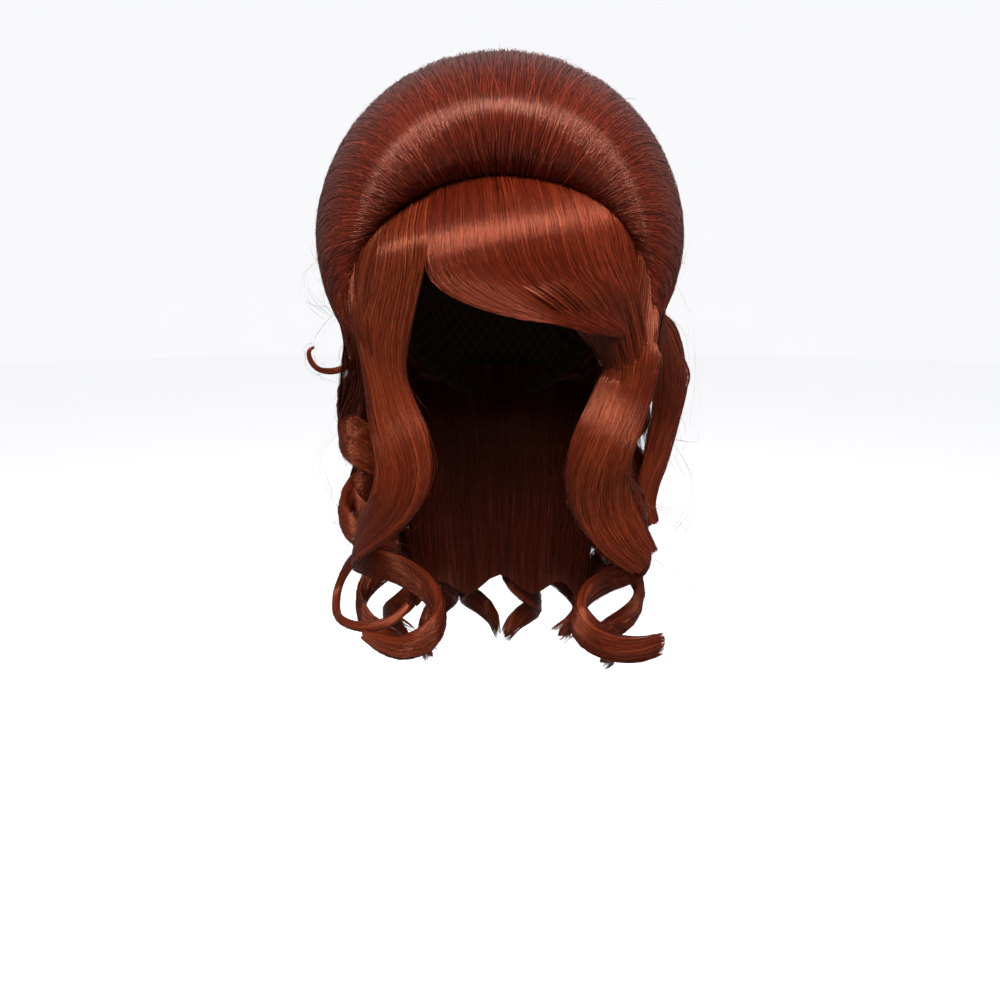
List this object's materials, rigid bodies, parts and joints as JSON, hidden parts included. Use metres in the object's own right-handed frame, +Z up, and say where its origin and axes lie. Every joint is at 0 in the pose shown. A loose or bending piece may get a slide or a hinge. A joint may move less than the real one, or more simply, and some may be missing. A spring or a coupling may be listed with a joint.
{
  "type": "beehive wig",
  "caption": "Wig on a stretch cap: high teased beehive crown with a rolled front edge, side-swept fringe, waved face-framing locks and long coiled ringlets at the back.",
  "frame": {"origin": "top of the head hollow, on the inside of the cap, where the wig sits on the head", "axes": "+Z up, the wearer's face looks along -Y, +X to the wearer's left, which is the right as seen from the front"},
  "size_m": [0.2709, 0.2201, 0.4728],
  "materials": {
    "cap_net": "matte stretch net with sewn wefts",
    "crown_hair": "satin synthetic fibre, dark auburn, combed smooth over teased padding",
    "fringe_hair": "satin synthetic fibre, red auburn, combed to one side",
    "curl_hair": "satin synthetic fibre, copper auburn, set in waves and ringlets"
  },
  "bodies": {
    "root": {"wig_cap": "cap_net", "beehive_crown": "crown_hair", "fringe": "fringe_hair", "front_lock_left": "curl_hair", "front_lock_right": "curl_hair", "side_wave_right": "curl_hair", "c_curl_right": "curl_hair", "ring_curl_left": "curl_hair", "flick_curl_left": "curl_hair", "side_ringlet_left": "curl_hair", "back_underlayer": "curl_hair", "back_ringlet_1": "curl_hair", "back_ringlet_2": "curl_hair", "back_ringlet_3": "curl_hair", "back_ringlet_4": "curl_hair", "back_ringlet_5": "curl_hair", "back_ringlet_6": "curl_hair", "back_ringlet_7": "curl_hair", "back_ringlet_8": "curl_hair"}
  },
  "joints": []
}
